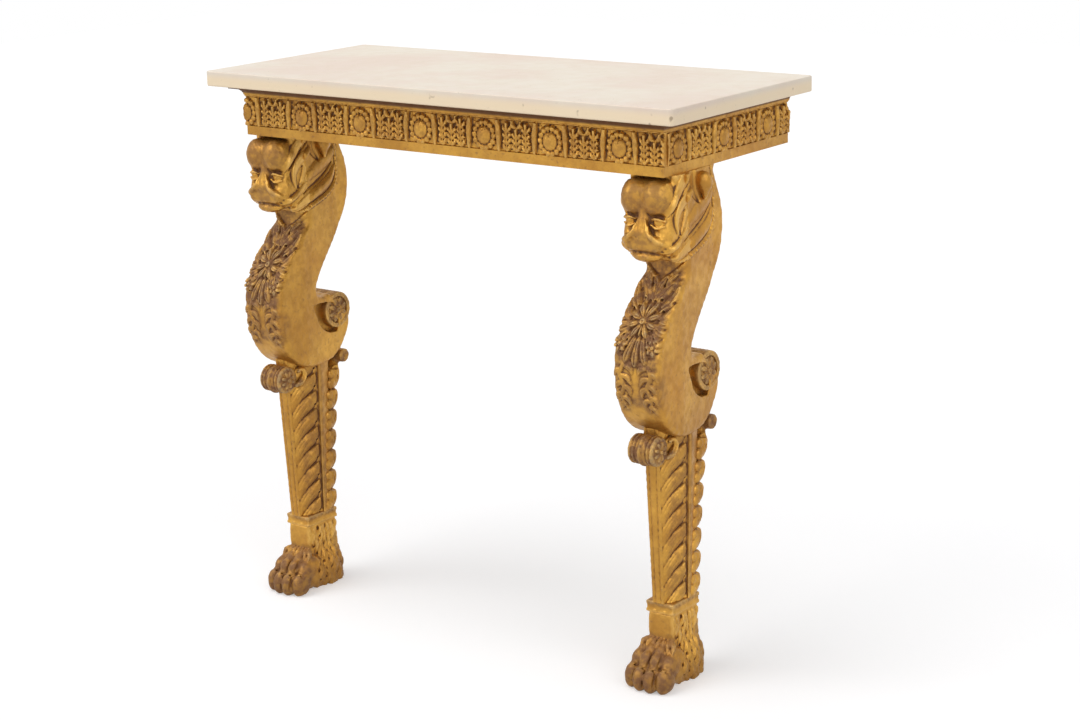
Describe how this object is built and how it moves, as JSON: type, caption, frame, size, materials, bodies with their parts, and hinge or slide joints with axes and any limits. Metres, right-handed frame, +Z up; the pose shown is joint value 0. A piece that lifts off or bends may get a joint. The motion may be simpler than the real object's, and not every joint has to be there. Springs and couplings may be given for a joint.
{
  "type": "pier table",
  "caption": "Wall-fixed side table: a marble slab on a carved gilded frame, carried in front by two lion-head scroll legs on paws.",
  "frame": {"origin": "on the floor, under the middle of the slab", "axes": "+X along the wall to the right as seen from the room, +Y towards the wall, +Z up"},
  "size_m": [0.857, 0.37, 0.85],
  "materials": {
    "marble": "honed cream marble, slightly pitted",
    "gilt_wood": "worn water gilding over carved wood",
    "raw_wood": "bare aged softwood",
    "iron": "blackened wrought iron"
  },
  "bodies": {
    "root": {"marble_top": "marble", "front_rail": "raw_wood", "side_rail_right": "raw_wood", "side_rail_left": "raw_wood", "back_rail": "raw_wood", "cross_brace": "raw_wood", "leg_block_right": "raw_wood", "leg_block_left": "raw_wood", "back_block_right": "raw_wood", "back_block_left": "raw_wood", "block_screws": "iron", "wall_plates": "iron", "plate_screws": "iron", "cornice_front": "gilt_wood", "cornice_right": "gilt_wood", "cornice_left": "gilt_wood", "base_fillet_front": "gilt_wood", "base_fillet_right": "gilt_wood", "base_fillet_left": "gilt_wood", "frieze_carving_front": "gilt_wood", "frieze_carving_right": "gilt_wood", "frieze_carving_left": "gilt_wood", "left_paw": "gilt_wood", "left_collar": "gilt_wood", "left_shaft": "gilt_wood", "left_back_leaf": "gilt_wood", "left_front_scroll": "gilt_wood", "left_rear_scroll": "gilt_wood", "left_rosettes": "gilt_wood", "left_scroll_body": "gilt_wood", "left_lion_head": "gilt_wood", "left_ears": "gilt_wood", "left_ankle_dowel": "raw_wood", "left_knee_dowel": "raw_wood", "left_head_dowel": "raw_wood", "right_paw": "gilt_wood", "right_collar": "gilt_wood", "right_shaft": "gilt_wood", "right_back_leaf": "gilt_wood", "right_front_scroll": "gilt_wood", "right_rear_scroll": "gilt_wood", "right_rosettes": "gilt_wood", "right_scroll_body": "gilt_wood", "right_lion_head": "gilt_wood", "right_ears": "gilt_wood", "right_ankle_dowel": "raw_wood", "right_knee_dowel": "raw_wood", "right_head_dowel": "raw_wood"}
  },
  "joints": []
}
